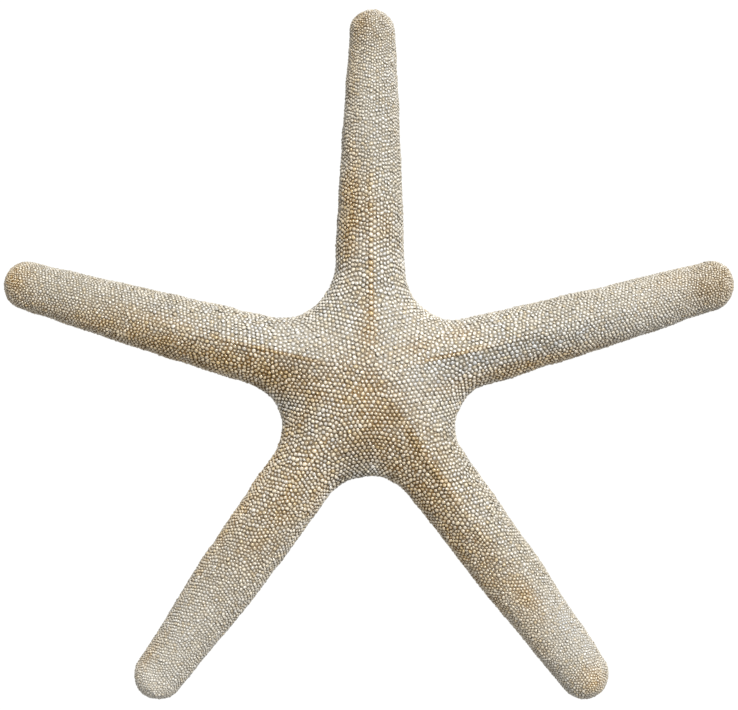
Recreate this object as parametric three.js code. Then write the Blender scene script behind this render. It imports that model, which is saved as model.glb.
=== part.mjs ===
// A dried finger starfish lying on its mouth side, as one closed solid.
// Five blunt arms with a low keel grow out of a small domed disc, rounded notches lie between them,
// the skin is studded with granules, and underneath a furrow runs along each arm into the mouth.
// Millimetres, +Z up. The origin is on the resting plane, at the middle of the footprint.
import * as THREE from "three";
import { mergeVertices } from "three/addons/utils/BufferGeometryUtils.js";

const degrees = Math.PI / 180;

// The arms in turn, anticlockwise from above. angle is the arm's direction, reach runs from the middle of
// the disc to the tip, plump is the swelling halfway along, bow is how far the tip bends sideways, and
// keelLean is how far the keel leans sideways where the arm leaves the disc.
const arms = [
  { angle: 15.4, reach: 82.9, tipRadius: 5.5, plump: 0.0, bow: 0.6, keelLean: 0.0 },
  { angle: 89.4, reach: 81.6, tipRadius: 5.0, plump: 0.1, bow: 0.0, keelLean: 0.0 },
  { angle: 164.3, reach: 82.9, tipRadius: 5.3, plump: 0.1, bow: 0.0, keelLean: 0.0 },
  { angle: 234.4, reach: 84.3, tipRadius: 5.5, plump: 0.5, bow: 0.0, keelLean: -1.0 },
  { angle: 306.4, reach: 84.9, tipRadius: 5.6, plump: 0.3, bow: 0.0, keelLean: -0.7 },
];
// From the middle of the disc to the notch after each arm.
const notchReach = [20.0, 20.4, 20.9, 20.8, 20.6];

const armHalfWidth = 7.8; // where the arm leaves the disc
const taperPower = 1.1;
const keelSpread = 18;
const crownLean = [0.55, 1.65]; // how far the top of the disc leans in X and Y
const crownSpread = 30;

const discHeight = 13;
const keelHeight = 11.2; // of the arm where it leaves the disc
const tipHeight = 8.4;
const widestAt = 0.42; // height of the widest line, as a share of the keel's height
const keelSlope = 0.34; // share of the flank's rise that is straight, which makes the keel
const keelSlopeTip = 0.05;
const keelFade = 0.65; // how far along the arm the keel has faded, as a share of the arm
const discRise = 1.6; // how many half-widths further in the straight rise goes on across the disc
const archLength = 1.35; // of a rounded flank, in half-widths
const tipBlunt = 0.3; // how far the keel runs on into the round tip, in tip radii

const soleEdge = 0.42; // where the side turns under, in half-widths in from the widest line
const furrowHalfWidth = 1.7;
const furrowHalfWidthTip = 0.9;
const furrowDepth = 2.4;
const furrowDepthTip = 1.2;
const furrowEnd = 4; // before the end of the keel, over which the furrow closes
const furrowShare = 0.4; // the most of a rib, from the keel outwards, that lies over the furrow
const mouthRadius = 3.6;
const mouthDepth = 3.4;

const granuleHeight = 0.45;

const discStations = 8;
const sideStations = 27;
const capStations = 4;
const flankColumns = 8;
const turnUnderColumns = 2;
const weldDistance = 1e-3; // nearer than which points are one

const skin = new THREE.MeshStandardMaterial({ color: 0xcdbfa3, roughness: 0.75, metalness: 0 });

const mix = THREE.MathUtils.lerp;
const clamp01 = (x) => THREE.MathUtils.clamp(x, 0, 1);
const smooth = (x) => THREE.MathUtils.smoothstep(x, 0, 1);

// The rounded notch between two arms that are 2 x halfAngle apart: a circle that touches both arms' sides
// and passes through the notch. Its middle is given along and across one of the arms.
function notchCircle(halfAngle, notch) {
  const radius = (notch * Math.sin(halfAngle) - armHalfWidth) / (1 - Math.sin(halfAngle));
  const away = notch + radius;
  return { radius, along: away * Math.cos(halfAngle), across: away * Math.sin(halfAngle) };
}

// The average notch sets where every arm starts, so that both halves of an arm share their keel.
const averageHalfAngle = Math.PI / arms.length;
const averageCircle = notchCircle(averageHalfAngle, notchReach.reduce((a, b) => a + b) / arms.length);
const armStart = averageCircle.along;

// Distances along the keel, from the middle of the disc to where the arm's round tip begins.
function keelStations(arm) {
  const stations = [];
  for (let i = 0; i < discStations; i++) {
    const turn = (Math.PI / 2 - averageHalfAngle) * (1 - i / discStations);
    stations.push(armStart - averageCircle.across * Math.tan(turn));
  }
  for (let i = 0; i <= sideStations; i++)
    stations.push(mix(armStart, arm.reach - arm.tipRadius, i / sideStations));
  return stations;
}

function sideHalfWidth(arm, s, sideStart) {
  const q = clamp01((s - sideStart) / (arm.reach - arm.tipRadius - sideStart));
  return mix(armHalfWidth, arm.tipRadius, q ** taperPower) + arm.plump * Math.sin(Math.PI * q) ** 2;
}

// Each rib runs from the keel, at keelAt along the arm, to a point of the outline, along and across it.
function ribs(arm, circle) {
  const list = keelStations(arm).map((s) => {
    if (s >= circle.along) return { keelAt: s, outline: [s, sideHalfWidth(arm, s, circle.along)] };
    const turn = Math.atan2(circle.along - s, circle.across);
    const along = circle.along - circle.radius * Math.sin(turn);
    const across = circle.across - circle.radius * Math.cos(turn);
    return { keelAt: s, outline: [along, across] };
  });
  const capStart = arm.reach - arm.tipRadius;
  for (let i = 1; i <= capStations; i++) {
    const turn = ((Math.PI / 2) * i) / capStations;
    list.push({
      keelAt: capStart + tipBlunt * arm.tipRadius * Math.sin(turn),
      outline: [capStart + arm.tipRadius * Math.sin(turn), arm.tipRadius * Math.cos(turn)],
    });
  }
  return list;
}

// Rise of a flank at x half-widths in from the outline: a quarter round with a straight slope mixed in,
// and only the slope goes on across the disc.
function flankRise(x, slope) {
  const round = x < 1 ? Math.sqrt(1 - (1 - x) ** 2) : 1;
  const beyond = Math.max(x - 1, 0);
  return (1 - slope) * round + slope * (Math.min(x, 1) + beyond / (1 + beyond / discRise));
}

function furrowHeight(s, t, keelEnd) {
  const q = clamp01(s / keelEnd);
  const closing = smooth((keelEnd - s) / furrowEnd);
  const x = Math.abs(t) / mix(furrowHalfWidth, furrowHalfWidthTip, q);
  const groove = x < 1 ? mix(furrowDepth, furrowDepthTip, q) * (1 - x ** 2) * closing : 0;
  const fromMiddle = Math.hypot(s, t) / mouthRadius;
  const mouth = fromMiddle < 1 ? mouthDepth * (1 - fromMiddle ** 2) : 0;
  return Math.max(groove, mouth);
}

// The points of one half of an arm. Row j is a rib, and column i runs from the keel over the outline and
// under to the furrow. Every other point of the upper side is the tip of a granule, and the rest lie lower.
function halfArm(arm, side, circle) {
  const keelEnd = arm.reach - arm.tipRadius * (1 - tipBlunt);
  return ribs(arm, circle).map(({ keelAt, outline }, j) => {
    const ribLength = Math.hypot(outline[0] - keelAt, outline[1]);
    const width = keelAt < circle.along ? armHalfWidth : ribLength;
    const q = clamp01((keelAt - armStart) / (keelEnd - armStart));
    const inDisc = clamp01(1 - keelAt / armStart);
    const top = mix(keelHeight, tipHeight, q) + (discHeight - keelHeight) * smooth(inDisc);
    const widest = top * widestAt;
    const slope = mix(keelSlope, keelSlopeTip, smooth(q / keelFade));
    const arch = archLength * width;
    const flankLength = arch + ribLength - width;
    const inward = (d) => {
      const x = Math.min(d / ribLength, 1);
      return [mix(outline[0], keelAt, x), mix(outline[1], 0, x)];
    };

    const row = [];
    for (let i = 0; i <= flankColumns; i++) {
      const walk = flankLength * (1 - i / flankColumns);
      const turn = Math.min(walk / arch, 1) * (Math.PI / 2);
      const d = width * (1 - Math.cos(turn)) + Math.max(walk - arch, 0);
      const rise = flankRise(d / width, slope) / flankRise(ribLength / width, slope);
      const inset = (i + j) % 2 === 0 ? 0 : granuleHeight;
      row.push({ st: inward(d), z: widest + (top - widest) * rise, inset });
    }
    for (let i = 1; i <= turnUnderColumns; i++) {
      const turn = ((Math.PI / 2) * i) / turnUnderColumns;
      const d = soleEdge * width * (1 - Math.cos(turn));
      row.push({ st: inward(d), z: widest * (1 - Math.sin(turn)), inset: 0 });
    }
    const lip = mix(furrowHalfWidth, furrowHalfWidthTip, clamp01(keelAt / keelEnd));
    const lipShare = Math.min(furrowShare, lip / Math.max(outline[1], lip));
    const lipAt = inward((1 - lipShare) * ribLength);
    row.push({ st: lipAt, z: furrowHeight(...lipAt, keelEnd), inset: 0 });
    row.push({ st: [keelAt, 0], z: furrowHeight(keelAt, 0, keelEnd), inset: 0 });

    const nearStart = smooth(keelAt / armStart) * Math.exp(-(((keelAt - armStart) / keelSpread) ** 2));
    return row.map(({ st: [s, t], z, inset }) => {
      const lean = arm.keelLean * nearStart * (z / discHeight) ** 2;
      const bent = arm.bow * clamp01((s - armStart) / (arm.reach - armStart)) ** 3;
      const across = side * t + lean + bent;
      const x = s * Math.cos(arm.angle * degrees) - across * Math.sin(arm.angle * degrees);
      const y = s * Math.sin(arm.angle * degrees) + across * Math.cos(arm.angle * degrees);
      const crown = (z / discHeight) ** 2 * Math.exp(-((Math.hypot(x, y) / crownSpread) ** 2));
      return { place: [x + crownLean[0] * crown, y + crownLean[1] * crown, z], inset };
    });
  });
}

// Two triangles for each cell of a half-arm. A cell is split between its two low corners, so that each
// proud corner is the tip of a four-sided granule.
function addCells(rows, side, positions, insets) {
  const push = (...corners) => {
    if (side < 0) corners.reverse();
    for (const { place, inset } of corners) {
      positions.push(...place);
      insets.push(inset);
    }
  };
  for (let j = 0; j + 1 < rows.length; j++) {
    for (let i = 0; i + 1 < rows[j].length; i++) {
      const [a, b, c, d] = [rows[j][i], rows[j + 1][i], rows[j + 1][i + 1], rows[j][i + 1]];
      if ((i + j) % 2 === 0) {
        push(a, b, d);
        push(b, c, d);
      } else {
        push(a, b, c);
        push(a, c, d);
      }
    }
  }
}

function starfishGeometry() {
  const positions = [];
  const insets = [];
  arms.forEach((arm, k) => {
    const before = (k + arms.length - 1) % arms.length;
    for (const [side, gap] of [[1, k], [-1, before]]) {
      const between = (arms[(gap + 1) % arms.length].angle - arms[gap].angle + 360) % 360;
      const circle = notchCircle((between / 2) * degrees, notchReach[gap]);
      addCells(halfArm(arm, side, circle), side, positions, insets);
    }
  });

  const loose = new THREE.BufferGeometry();
  loose.setAttribute("position", new THREE.Float32BufferAttribute(positions, 3));
  loose.setAttribute("inset", new THREE.Float32BufferAttribute(insets, 1));
  const geometry = mergeVertices(loose, weldDistance);
  geometry.computeVertexNormals();
  const { position, normal, inset } = geometry.attributes;
  const point = new THREE.Vector3();
  const outward = new THREE.Vector3();
  for (let v = 0; v < position.count; v++) {
    outward.fromBufferAttribute(normal, v);
    point.fromBufferAttribute(position, v).addScaledVector(outward, -inset.getX(v));
    position.setXYZ(v, point.x, point.y, point.z);
  }
  geometry.deleteAttribute("inset");
  geometry.computeBoundingBox();
  const { min, max } = geometry.boundingBox;
  geometry.translate(-(min.x + max.x) / 2, -(min.y + max.y) / 2, -min.z);
  geometry.computeVertexNormals();
  return geometry;
}

const starfish = new THREE.Mesh(starfishGeometry(), skin);
starfish.name = "starfish";

const group = new THREE.Group();
group.add(starfish);
export default group;
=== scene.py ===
"""A dried finger starfish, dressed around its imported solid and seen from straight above.

Shapes are worked out in millimetres in the plan of the starfish, with the middle of the disc at the origin
and +Z up. They go into Blender in metres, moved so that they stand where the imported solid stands.
"""
import math

import bpy
import numpy as np
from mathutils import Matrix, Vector


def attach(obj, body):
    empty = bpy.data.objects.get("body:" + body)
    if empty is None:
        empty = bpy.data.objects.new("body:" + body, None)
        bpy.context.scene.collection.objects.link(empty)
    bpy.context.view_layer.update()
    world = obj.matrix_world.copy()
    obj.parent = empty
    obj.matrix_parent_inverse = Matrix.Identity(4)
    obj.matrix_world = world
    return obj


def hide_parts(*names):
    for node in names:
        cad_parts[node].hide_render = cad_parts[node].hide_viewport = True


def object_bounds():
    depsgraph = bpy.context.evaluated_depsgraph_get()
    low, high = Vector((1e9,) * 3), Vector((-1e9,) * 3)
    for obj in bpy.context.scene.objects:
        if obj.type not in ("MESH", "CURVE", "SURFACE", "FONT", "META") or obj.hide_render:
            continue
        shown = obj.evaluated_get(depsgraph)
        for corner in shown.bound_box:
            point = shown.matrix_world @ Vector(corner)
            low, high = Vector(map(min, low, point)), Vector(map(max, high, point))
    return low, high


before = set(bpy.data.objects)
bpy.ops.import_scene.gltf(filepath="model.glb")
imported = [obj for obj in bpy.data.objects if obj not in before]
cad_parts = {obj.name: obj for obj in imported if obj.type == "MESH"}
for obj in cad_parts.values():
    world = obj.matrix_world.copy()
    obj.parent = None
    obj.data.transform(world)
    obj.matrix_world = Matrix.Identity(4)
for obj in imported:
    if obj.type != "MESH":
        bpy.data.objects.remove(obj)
cad_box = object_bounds()

MM = 0.001
QUARTER = math.pi / 2
RANDOM = np.random.default_rng(11)
TINY = 1e-6
LINE_STEPS = 601  # points on a keel or an outline, where a length is measured along it

# The arms, anticlockwise from the one on the right, with the notch that follows each.
ARM_NAMES = ("right", "top", "left", "lower_left", "lower_right")
ARMS = len(ARM_NAMES)
ARM_ANGLE = np.radians([15.4, 89.4, 164.3, 234.4, 306.4])
ARM_REACH = np.array([82.9, 81.6, 82.9, 84.3, 84.9])
TIP_RADIUS = np.array([5.5, 5.0, 5.3, 5.5, 5.6])
PLUMPNESS = np.array([0.0, 0.1, 0.1, 0.5, 0.3])
BOW = np.array([0.6, 0.0, 0.0, 0.0, 0.0])
KEEL_LEAN = np.array([0.0, 0.0, 0.0, -1.0, -0.7])
NOTCH_REACH = np.array([20.0, 20.4, 20.9, 20.8, 20.6])

# The form of the body.
ARM_HALF_WIDTH = 7.8
TAPER_POWER = 1.1
KEEL_SPREAD = 18.0
CROWN_LEAN = (0.55, 1.65)
CROWN_SPREAD = 30.0
DISC_HEIGHT = 13.0
KEEL_HEIGHT = 11.2
TIP_HEIGHT = 8.4
WIDEST_AT = 0.42
KEEL_SLOPE = 0.34
KEEL_SLOPE_TIP = 0.05
KEEL_FADE = 0.65
DISC_RISE = 1.6
ARCH_LENGTH = 1.35
TIP_BLUNT = 0.3
SOLE_EDGE = 0.42
FURROW_HALF_WIDTH = 1.7
FURROW_HALF_WIDTH_TIP = 0.9
FURROW_DEPTH = 2.4
FURROW_DEPTH_TIP = 1.2
FURROW_END = 4.0
MOUTH_RADIUS = 3.6
MOUTH_DEPTH = 3.4

# The body's unevenness: the strength of each wave, and its two sines' starts and growth in x, y and z.
WAVES = (
    (1.0, (1.1, (0.41, 0.23, 0.0)), (0.4, (-0.17, 0.29, 0.0))),
    (0.6, (2.0, (0.83, -0.37, 0.0)), (0.0, (0.29, 0.71, 0.9))),
)
WAVE_HEIGHT = 0.13
WAVE_FADE = 5.0  # height above the sole at which the waves are whole

# The granules' pitch, from one to the next, by distance along an arm.
PITCH_PLACES = (0.0, 24.0, 46.0, 66.0, 80.0)
PITCHES = (0.96, 0.97, 0.84, 0.71, 0.64)
HEIGHT_SHARE = 0.42  # a granule's height in its pitch
FLANK_SHARE = 0.9  # the pitch at the outline, as a share of the plain one
SOLE_SHARE = 1.04  # and on the sole

# The photograph's frame. One of its pixels is this many millimetres on the starfish.
FRAME_WIDTH_PX = 738
FRAME_HEIGHT_PX = 710
MM_PER_PX = 0.2183
PHOTO_MIDDLE_PX = (368.7, 354.3)  # of the starfish's outline
FOCAL_LENGTH = 100.0
SENSOR_WIDTH = 36.0
CLIP_START = 0.01  # metres


def mix(a, b, x):
    return a + (b - a) * x


def smooth(x):
    """Smooth step from 0 to 1 as x goes from 0 to 1."""
    x = np.clip(x, 0, 1)
    return x * x * (3 - 2 * x)


def bump_at(x, middle, spread):
    """A bell of height 1 at the middle, which falls to 1/e at the spread."""
    return np.exp(-(((x - middle) / spread) ** 2))


# Each arm has two halves, left of its keel and right of it, numbered 2 x arm and 2 x arm + 1.
HALVES = np.arange(2 * ARMS)
HALF_ARM = HALVES // 2
HALF_SIDE = np.where(HALVES % 2 == 0, 1.0, -1.0)
HALF_GAP = np.where(HALF_SIDE > 0, HALF_ARM, (HALF_ARM - 1) % ARMS)
NEXT_ANGLE = np.roll(ARM_ANGLE, -1)
BISECTOR = ((NEXT_ANGLE - ARM_ANGLE) % (2 * math.pi)) / 2


def notch_circle(half_angle, notch):
    """Radius of the notch between two arms, and its middle along and across one of them.

    The circle touches both arms' sides and passes through the notch, on the line halfway between the arms.
    """
    radius = (notch * np.sin(half_angle) - ARM_HALF_WIDTH) / (1 - np.sin(half_angle))
    away = notch + radius
    return radius, away * np.cos(half_angle), away * np.sin(half_angle)


NOTCH_RADIUS, NOTCH_ALONG, NOTCH_ACROSS = notch_circle(BISECTOR[HALF_GAP], NOTCH_REACH[HALF_GAP])
MEAN_HALF_ANGLE = math.pi / ARMS
_, ARM_START, MEAN_ACROSS = notch_circle(MEAN_HALF_ANGLE, NOTCH_REACH.mean())
CAP_START = ARM_REACH - TIP_RADIUS
KEEL_END = ARM_REACH - TIP_RADIUS * (1 - TIP_BLUNT)


def rib(half, t):
    """Where rib t of a half-arm starts on the keel, and where it meets the outline, along and across the arm.

    From 0 to 1 the ribs stand square on the notch's circle, from 1 to 2 they stand square on the keel, and
    from 2 to 3 they fan out round the tip.
    """
    arm = HALF_ARM[half]
    disc_turn = (QUARTER - MEAN_HALF_ANGLE) * (1 - np.clip(t, 0, 1))
    tip_turn = QUARTER * np.clip(t - 2, 0, 1)
    keel = ARM_START - MEAN_ACROSS * np.tan(disc_turn)
    keel = keel + np.clip(t - 1, 0, 1) * (CAP_START[arm] - ARM_START)
    q = np.clip((keel - NOTCH_ALONG[half]) / (CAP_START[arm] - NOTCH_ALONG[half]), 0, 1)
    width = mix(ARM_HALF_WIDTH, TIP_RADIUS[arm], q**TAPER_POWER)
    width = width + PLUMPNESS[arm] * np.sin(math.pi * q) ** 2
    notch_turn = np.arctan2(np.maximum(NOTCH_ALONG[half] - keel, 0), NOTCH_ACROSS[half])
    in_notch = keel < NOTCH_ALONG[half]
    along = np.where(in_notch, NOTCH_ALONG[half] - NOTCH_RADIUS[half] * np.sin(notch_turn), keel)
    across = np.where(in_notch, NOTCH_ACROSS[half] - NOTCH_RADIUS[half] * np.cos(notch_turn), width)
    in_tip = t > 2
    along = np.where(in_tip, CAP_START[arm] + TIP_RADIUS[arm] * np.sin(tip_turn), along)
    across = np.where(in_tip, TIP_RADIUS[arm] * np.cos(tip_turn), across)
    return keel + TIP_BLUNT * TIP_RADIUS[arm] * np.sin(tip_turn), along, across


def flank_rise(x, slope):
    """Rise of a flank at x half-widths in from the outline: a quarter round with a straight slope mixed in,
    and only the slope goes on across the disc."""
    rounded = np.sqrt(np.maximum(1 - (1 - np.minimum(x, 1)) ** 2, 0))
    beyond = np.maximum(x - 1, 0)
    return (1 - slope) * rounded + slope * (np.minimum(x, 1) + beyond / (1 + beyond / DISC_RISE))


def furrow_half_width(arm, s):
    return mix(FURROW_HALF_WIDTH, FURROW_HALF_WIDTH_TIP, np.clip(s / KEEL_END[arm], 0, 1))


def furrow_height(arm, s, c):
    """Height of the underside at s along an arm and c across it: a parabola across the furrow, deepest at
    the mouth, which is a round pit."""
    q = np.clip(s / KEEL_END[arm], 0, 1)
    closing = smooth((KEEL_END[arm] - s) / FURROW_END)
    x = np.abs(c) / furrow_half_width(arm, s)
    groove = mix(FURROW_DEPTH, FURROW_DEPTH_TIP, q) * np.maximum(1 - x**2, 0) * closing
    mouth = MOUTH_DEPTH * np.maximum(1 - (s**2 + c**2) / MOUTH_RADIUS**2, 0)
    return np.maximum(groove, mouth)


def bowed(arm, s, c):
    """How far across an arm a place is once the arm's bow is added, at s along it and c across it."""
    return c + BOW[arm] * np.clip((s - ARM_START) / (ARM_REACH[arm] - ARM_START), 0, 1) ** 3


def in_plan(arm, s, c):
    """x and y in plan at s along an arm and c across it, positive to its left."""
    cos = np.cos(ARM_ANGLE[arm])
    sin = np.sin(ARM_ANGLE[arm])
    return s * cos - c * sin, s * sin + c * cos


def arm_place(arm, points):
    """Distance along an arm and across it, positive to its left, of points in plan."""
    cos = np.cos(ARM_ANGLE[arm])
    sin = np.sin(ARM_ANGLE[arm])
    return points[..., 0] * cos + points[..., 1] * sin, points[..., 1] * cos - points[..., 0] * sin


def body(half, t, v):
    """A point of the body, (..., 3): on rib t, at v across it.

    v goes from 0 at the keel to 1 at the outline, down the side and under to 2, and on to 3 in the middle of
    the furrow. The flank follows flank_rise, the side turns under on a quarter of an ellipse, and the sole
    is flat up to the furrow.
    """
    arm = HALF_ARM[half]
    keel, along, across = rib(half, t)
    length = np.hypot(along - keel, across)
    width = np.where(keel < NOTCH_ALONG[half], ARM_HALF_WIDTH, length)
    q = np.clip((keel - ARM_START) / (KEEL_END[arm] - ARM_START), 0, 1)
    top = mix(KEEL_HEIGHT, TIP_HEIGHT, q) + (DISC_HEIGHT - KEEL_HEIGHT) * smooth(1 - keel / ARM_START)
    widest = top * WIDEST_AT
    slope = mix(KEEL_SLOPE, KEEL_SLOPE_TIP, smooth(q / KEEL_FADE))

    arch = ARCH_LENGTH * width
    walk = (arch + length - width) * (1 - np.clip(v, 0, 1))
    flank_in = width * (1 - np.cos(QUARTER * np.minimum(walk / arch, 1))) + np.maximum(walk - arch, 0)
    rise = flank_rise(flank_in / width, slope) / flank_rise(length / width, slope)
    under_turn = QUARTER * np.clip(v - 1, 0, 1)
    under_in = SOLE_EDGE * width * (1 - np.cos(under_turn))
    sole_in = mix(SOLE_EDGE * width, length, np.clip(v - 2, 0, 1))
    inward = np.select([v <= 1, v <= 2], [flank_in, under_in], sole_in)
    x = np.minimum(inward / length, 1)
    s = mix(along, keel, x)
    c = across * (1 - x)
    under_z = widest * (1 - np.sin(under_turn))
    z = np.select([v <= 1, v <= 2], [mix(widest, top, rise), under_z], furrow_height(arm, s, c))

    lean = KEEL_LEAN[arm] * smooth(keel / ARM_START) * bump_at(keel, ARM_START, KEEL_SPREAD)
    px, py = in_plan(arm, s, bowed(arm, s, HALF_SIDE[half] * c) + lean * (z / DISC_HEIGHT) ** 2)
    crown = (z / DISC_HEIGHT) ** 2 * bump_at(np.hypot(px, py), 0, CROWN_SPREAD)
    return np.stack([px + CROWN_LEAN[0] * crown, py + CROWN_LEAN[1] * crown, z], axis=-1)


def half_body(half, t, v):
    """The body's points on one half-arm."""
    t, v = t + 0 * v, v + 0 * t
    return body(np.full(t.shape, half), t, v)


def tangents(half, t, v, step=1e-3):
    """The body's two tangents at a point, by small differences that stay inside the half-arm."""
    t_step = np.where(t > 1.5, -step, step)
    v_step = np.where(v > 1.5, -step, step)
    here = body(half, t, v)
    return (
        (body(half, t + t_step, v) - here) / t_step[..., None],
        (body(half, t, v + v_step) - here) / v_step[..., None],
    )


def unit(vectors):
    return vectors / np.maximum(np.linalg.norm(vectors, axis=-1, keepdims=True), TINY)


def outward(half, t, v):
    """The body's outward normal."""
    along, across = tangents(half, t, v)
    return unit(np.cross(along, across) * HALF_SIDE[half][..., None])


def unevenness(points):
    """How far the body stands proud of its plain form, in millimetres.

    It is a sum of slow waves that fades out towards the sole. Each wave is the product of two sines, whose
    angles are a start and a share of x, y and z.
    """
    waves = 0.0
    for strength, *sines in WAVES:
        angles = [points @ growth + start for start, growth in sines]
        waves = waves + strength * np.sin(angles[0]) * np.sin(angles[1])
    return WAVE_HEIGHT * waves * smooth(points[..., 2] / WAVE_FADE)


def pitch_at(along):
    """Distance between granules at a distance along an arm from the middle of the disc."""
    return np.interp(along, PITCH_PLACES, PITCHES)


# Skin

SKIN_DISC_STEPS = 18
SKIN_ARM_STEPS = 56
SKIN_TIP_STEPS = 12
SKIN_FLANK_STEPS = 22
SKIN_UNDER_STEPS = 8
SKIN_SOLE_STEPS = 14
SOLE_CROWDING = 1.5  # power that crowds the sole's points towards the furrow
MERGING = 1e-3


def grid_faces(rows, columns):
    """Quads of a grid of points whose index is row x columns + column."""
    corner = np.arange(rows - 1)[:, None] * columns + np.arange(columns - 1)
    corner = corner.ravel()
    return np.stack([corner, corner + columns, corner + columns + 1, corner + 1], axis=-1)


def skin_mesh():
    """The body as one closed mesh, let in by the granules' height so that their tips lie on the body.

    Ten half-arm grids, joined along the keels, the furrows, the notches and the tips.
    """
    t = np.concatenate([
        np.linspace(0, 1, SKIN_DISC_STEPS, endpoint=False),
        np.linspace(1, 2, SKIN_ARM_STEPS, endpoint=False),
        np.linspace(2, 3, SKIN_TIP_STEPS + 1),
    ])
    v = np.concatenate([
        np.linspace(0, 1, SKIN_FLANK_STEPS, endpoint=False),
        np.linspace(1, 2, SKIN_UNDER_STEPS, endpoint=False),
        3 - np.linspace(1, 0, SKIN_SOLE_STEPS + 1) ** SOLE_CROWDING,
    ])
    points = []
    faces = []
    inset = []
    for half in HALVES:
        grid = half_body(half, t[:, None], v).reshape(-1, 3)
        quads = grid_faces(len(t), len(v))
        if HALF_SIDE[half] < 0:
            quads = quads[:, ::-1]
        faces.append(quads + len(points) * len(grid))
        points.append(grid)
        keel, _, _ = rib(np.full(len(t), half), t)
        inset.append(np.repeat(HEIGHT_SHARE * pitch_at(keel), len(v)))
    points = np.concatenate(points)
    faces = np.concatenate(faces)
    inset = np.concatenate(inset)

    # Points that two half-arms share become one.
    key = np.round(points / MERGING).astype(np.int64)
    _, first, merged = np.unique(key, axis=0, return_index=True, return_inverse=True)
    points = points[first]
    inset = inset[first]
    faces = merged.reshape(-1)[faces]

    # Each point's normal is the sum of its faces' normals.
    a, b, c, d = (points[faces[:, k]] for k in range(4))
    face_normal = np.cross(c - a, d - b)
    normal = np.zeros_like(points)
    for k in range(4):
        np.add.at(normal, faces[:, k], face_normal)
    normal = unit(normal)
    return points + normal * (unevenness(points) - inset)[:, None], faces


# Granules

ROW_RISE = math.sqrt(3) / 2  # between rows of touching round things, in their pitch
ROW_STEPS = 241  # points along a row and along a rib, where they are measured
RIB_STEPS = 361
ROWS_UP = 24  # pitches from the outline to the farthest row
ROWS_DOWN = -30
WHOLLY = 0.99  # how much of a granule's row has to be on its half-arm
FLANK_REACH = 6  # pitches from the outline in which a row's granules grow to their full size
# For each arm, from where to where its keel's granules keep to the line, and how much they swell there.
KEEL_LINE = {
    "right": (14, 38, 0.0),
    "top": (12, 36, 0.32),
    "left": (12, 34, 0.0),
    "lower_left": (9, 30, 0.2),
    "lower_right": (9, 32, 0.05),
}
SWELLING_AT = 23.0
SWELLING_REACH = 12.0
SETTLING_ROUNDS = 26
SETTLING_PUSH = 0.25  # share of an overlap that a round takes away
PUSH_REACH = 1.1  # how far granules push each other, in the largest pitch
LOOSE_SETTLING = 1.12  # the pitch that granules settle to, in their own pitch
EVEN_SPREAD = 0.19  # of the granules' sizes on the disc and the arms' bases, where they stand in rows
UNEVEN_SPREAD = 0.28  # of their sizes further out
UNEVEN_FROM = 24.0  # along an arm, where they start to be less even
UNEVEN_REACH = 14.0
FURROW_MARGIN = 1.3  # from the furrow's edge to the nearest granules, before they settle
FURROW_LEAST = 1.15  # and after
CROWDING = 0.66  # of two granules' mean pitch, nearer than which one of them goes
LONGEST_STEP = 0.06  # of t and v in a settling round
NOTCH_NEIGHBOUR = np.where(HALF_SIDE > 0, HALVES + 3, HALVES - 3) % len(HALVES)  # the half-arm across it


def row_walks():
    """Each row of granules' (walk, share): how far up the surface from the outline it runs, and its granules'
    size, both in pitches."""
    up = []
    walk = 0.0
    while walk < ROWS_UP:
        share = mix(FLANK_SHARE, 1.0, smooth(walk / FLANK_REACH))
        up.append((walk, share))
        walk += share * ROW_RISE
    down = []
    walk = 0.0
    while walk > ROWS_DOWN:
        share = mix(FLANK_SHARE, SOLE_SHARE, smooth(-walk / FLANK_REACH))
        walk -= share * ROW_RISE
        down.append((walk, share))
    return down[::-1] + up


def run_along(points, unit_length=1.0):
    """Distance walked along a line of points, in a unit that may change from point to point."""
    steps = np.linalg.norm(np.diff(points, axis=0), axis=-1)
    units = unit_length * np.ones(len(points))
    return np.concatenate([[0], np.cumsum(steps / ((units[1:] + units[:-1]) / 2))])


def row_places():
    """Rows of granules over every half-arm, parallel to its outline, as rows of half, t, v and pitch.

    Rows close up towards the tip as the pitch shrinks. Granules stand a pitch apart along a row, and every
    other row starts half a pitch on from the notch.
    """
    t_line = np.linspace(0, 3, ROW_STEPS)
    v_line = np.linspace(0, 3, RIB_STEPS)
    at_outline = np.argmin(np.abs(v_line - 1))
    places = []
    for half in HALVES:
        steps = np.linalg.norm(np.diff(half_body(half, t_line[:, None], v_line), axis=1), axis=-1)
        walked = np.concatenate([np.zeros((len(t_line), 1)), np.cumsum(steps, axis=1)], axis=1)
        pitch = pitch_at(rib(np.full(len(t_line), half), t_line)[0])
        walked = (walked - walked[:, [at_outline]]) / pitch[:, None]
        for row, (walk, share) in enumerate(row_walks()):
            inside = (walked[:, 0] < -walk) & (walked[:, -1] > -walk)
            if inside.sum() < 2:
                continue
            v_row = np.array([np.interp(-walk, rib_walk, v_line) for rib_walk in walked])
            run = run_along(half_body(half, t_line, v_row), pitch)
            stops = np.arange(0 if row % 2 == 0 else share / 2, run[-1], share)
            if row % 2 == 0 and HALF_SIDE[half] < 0:
                stops = stops[1:]  # the other side of the notch has the granule on the notch's own line
            stops = stops[np.interp(stops, run, inside.astype(float)) > WHOLLY]
            t = np.interp(stops, run, t_line)
            v = np.interp(stops, run, v_row)
            places.append(np.stack([0 * t + half, t, v, share * np.interp(stops, run, pitch)]))
    return np.concatenate(places, axis=1)


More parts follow.
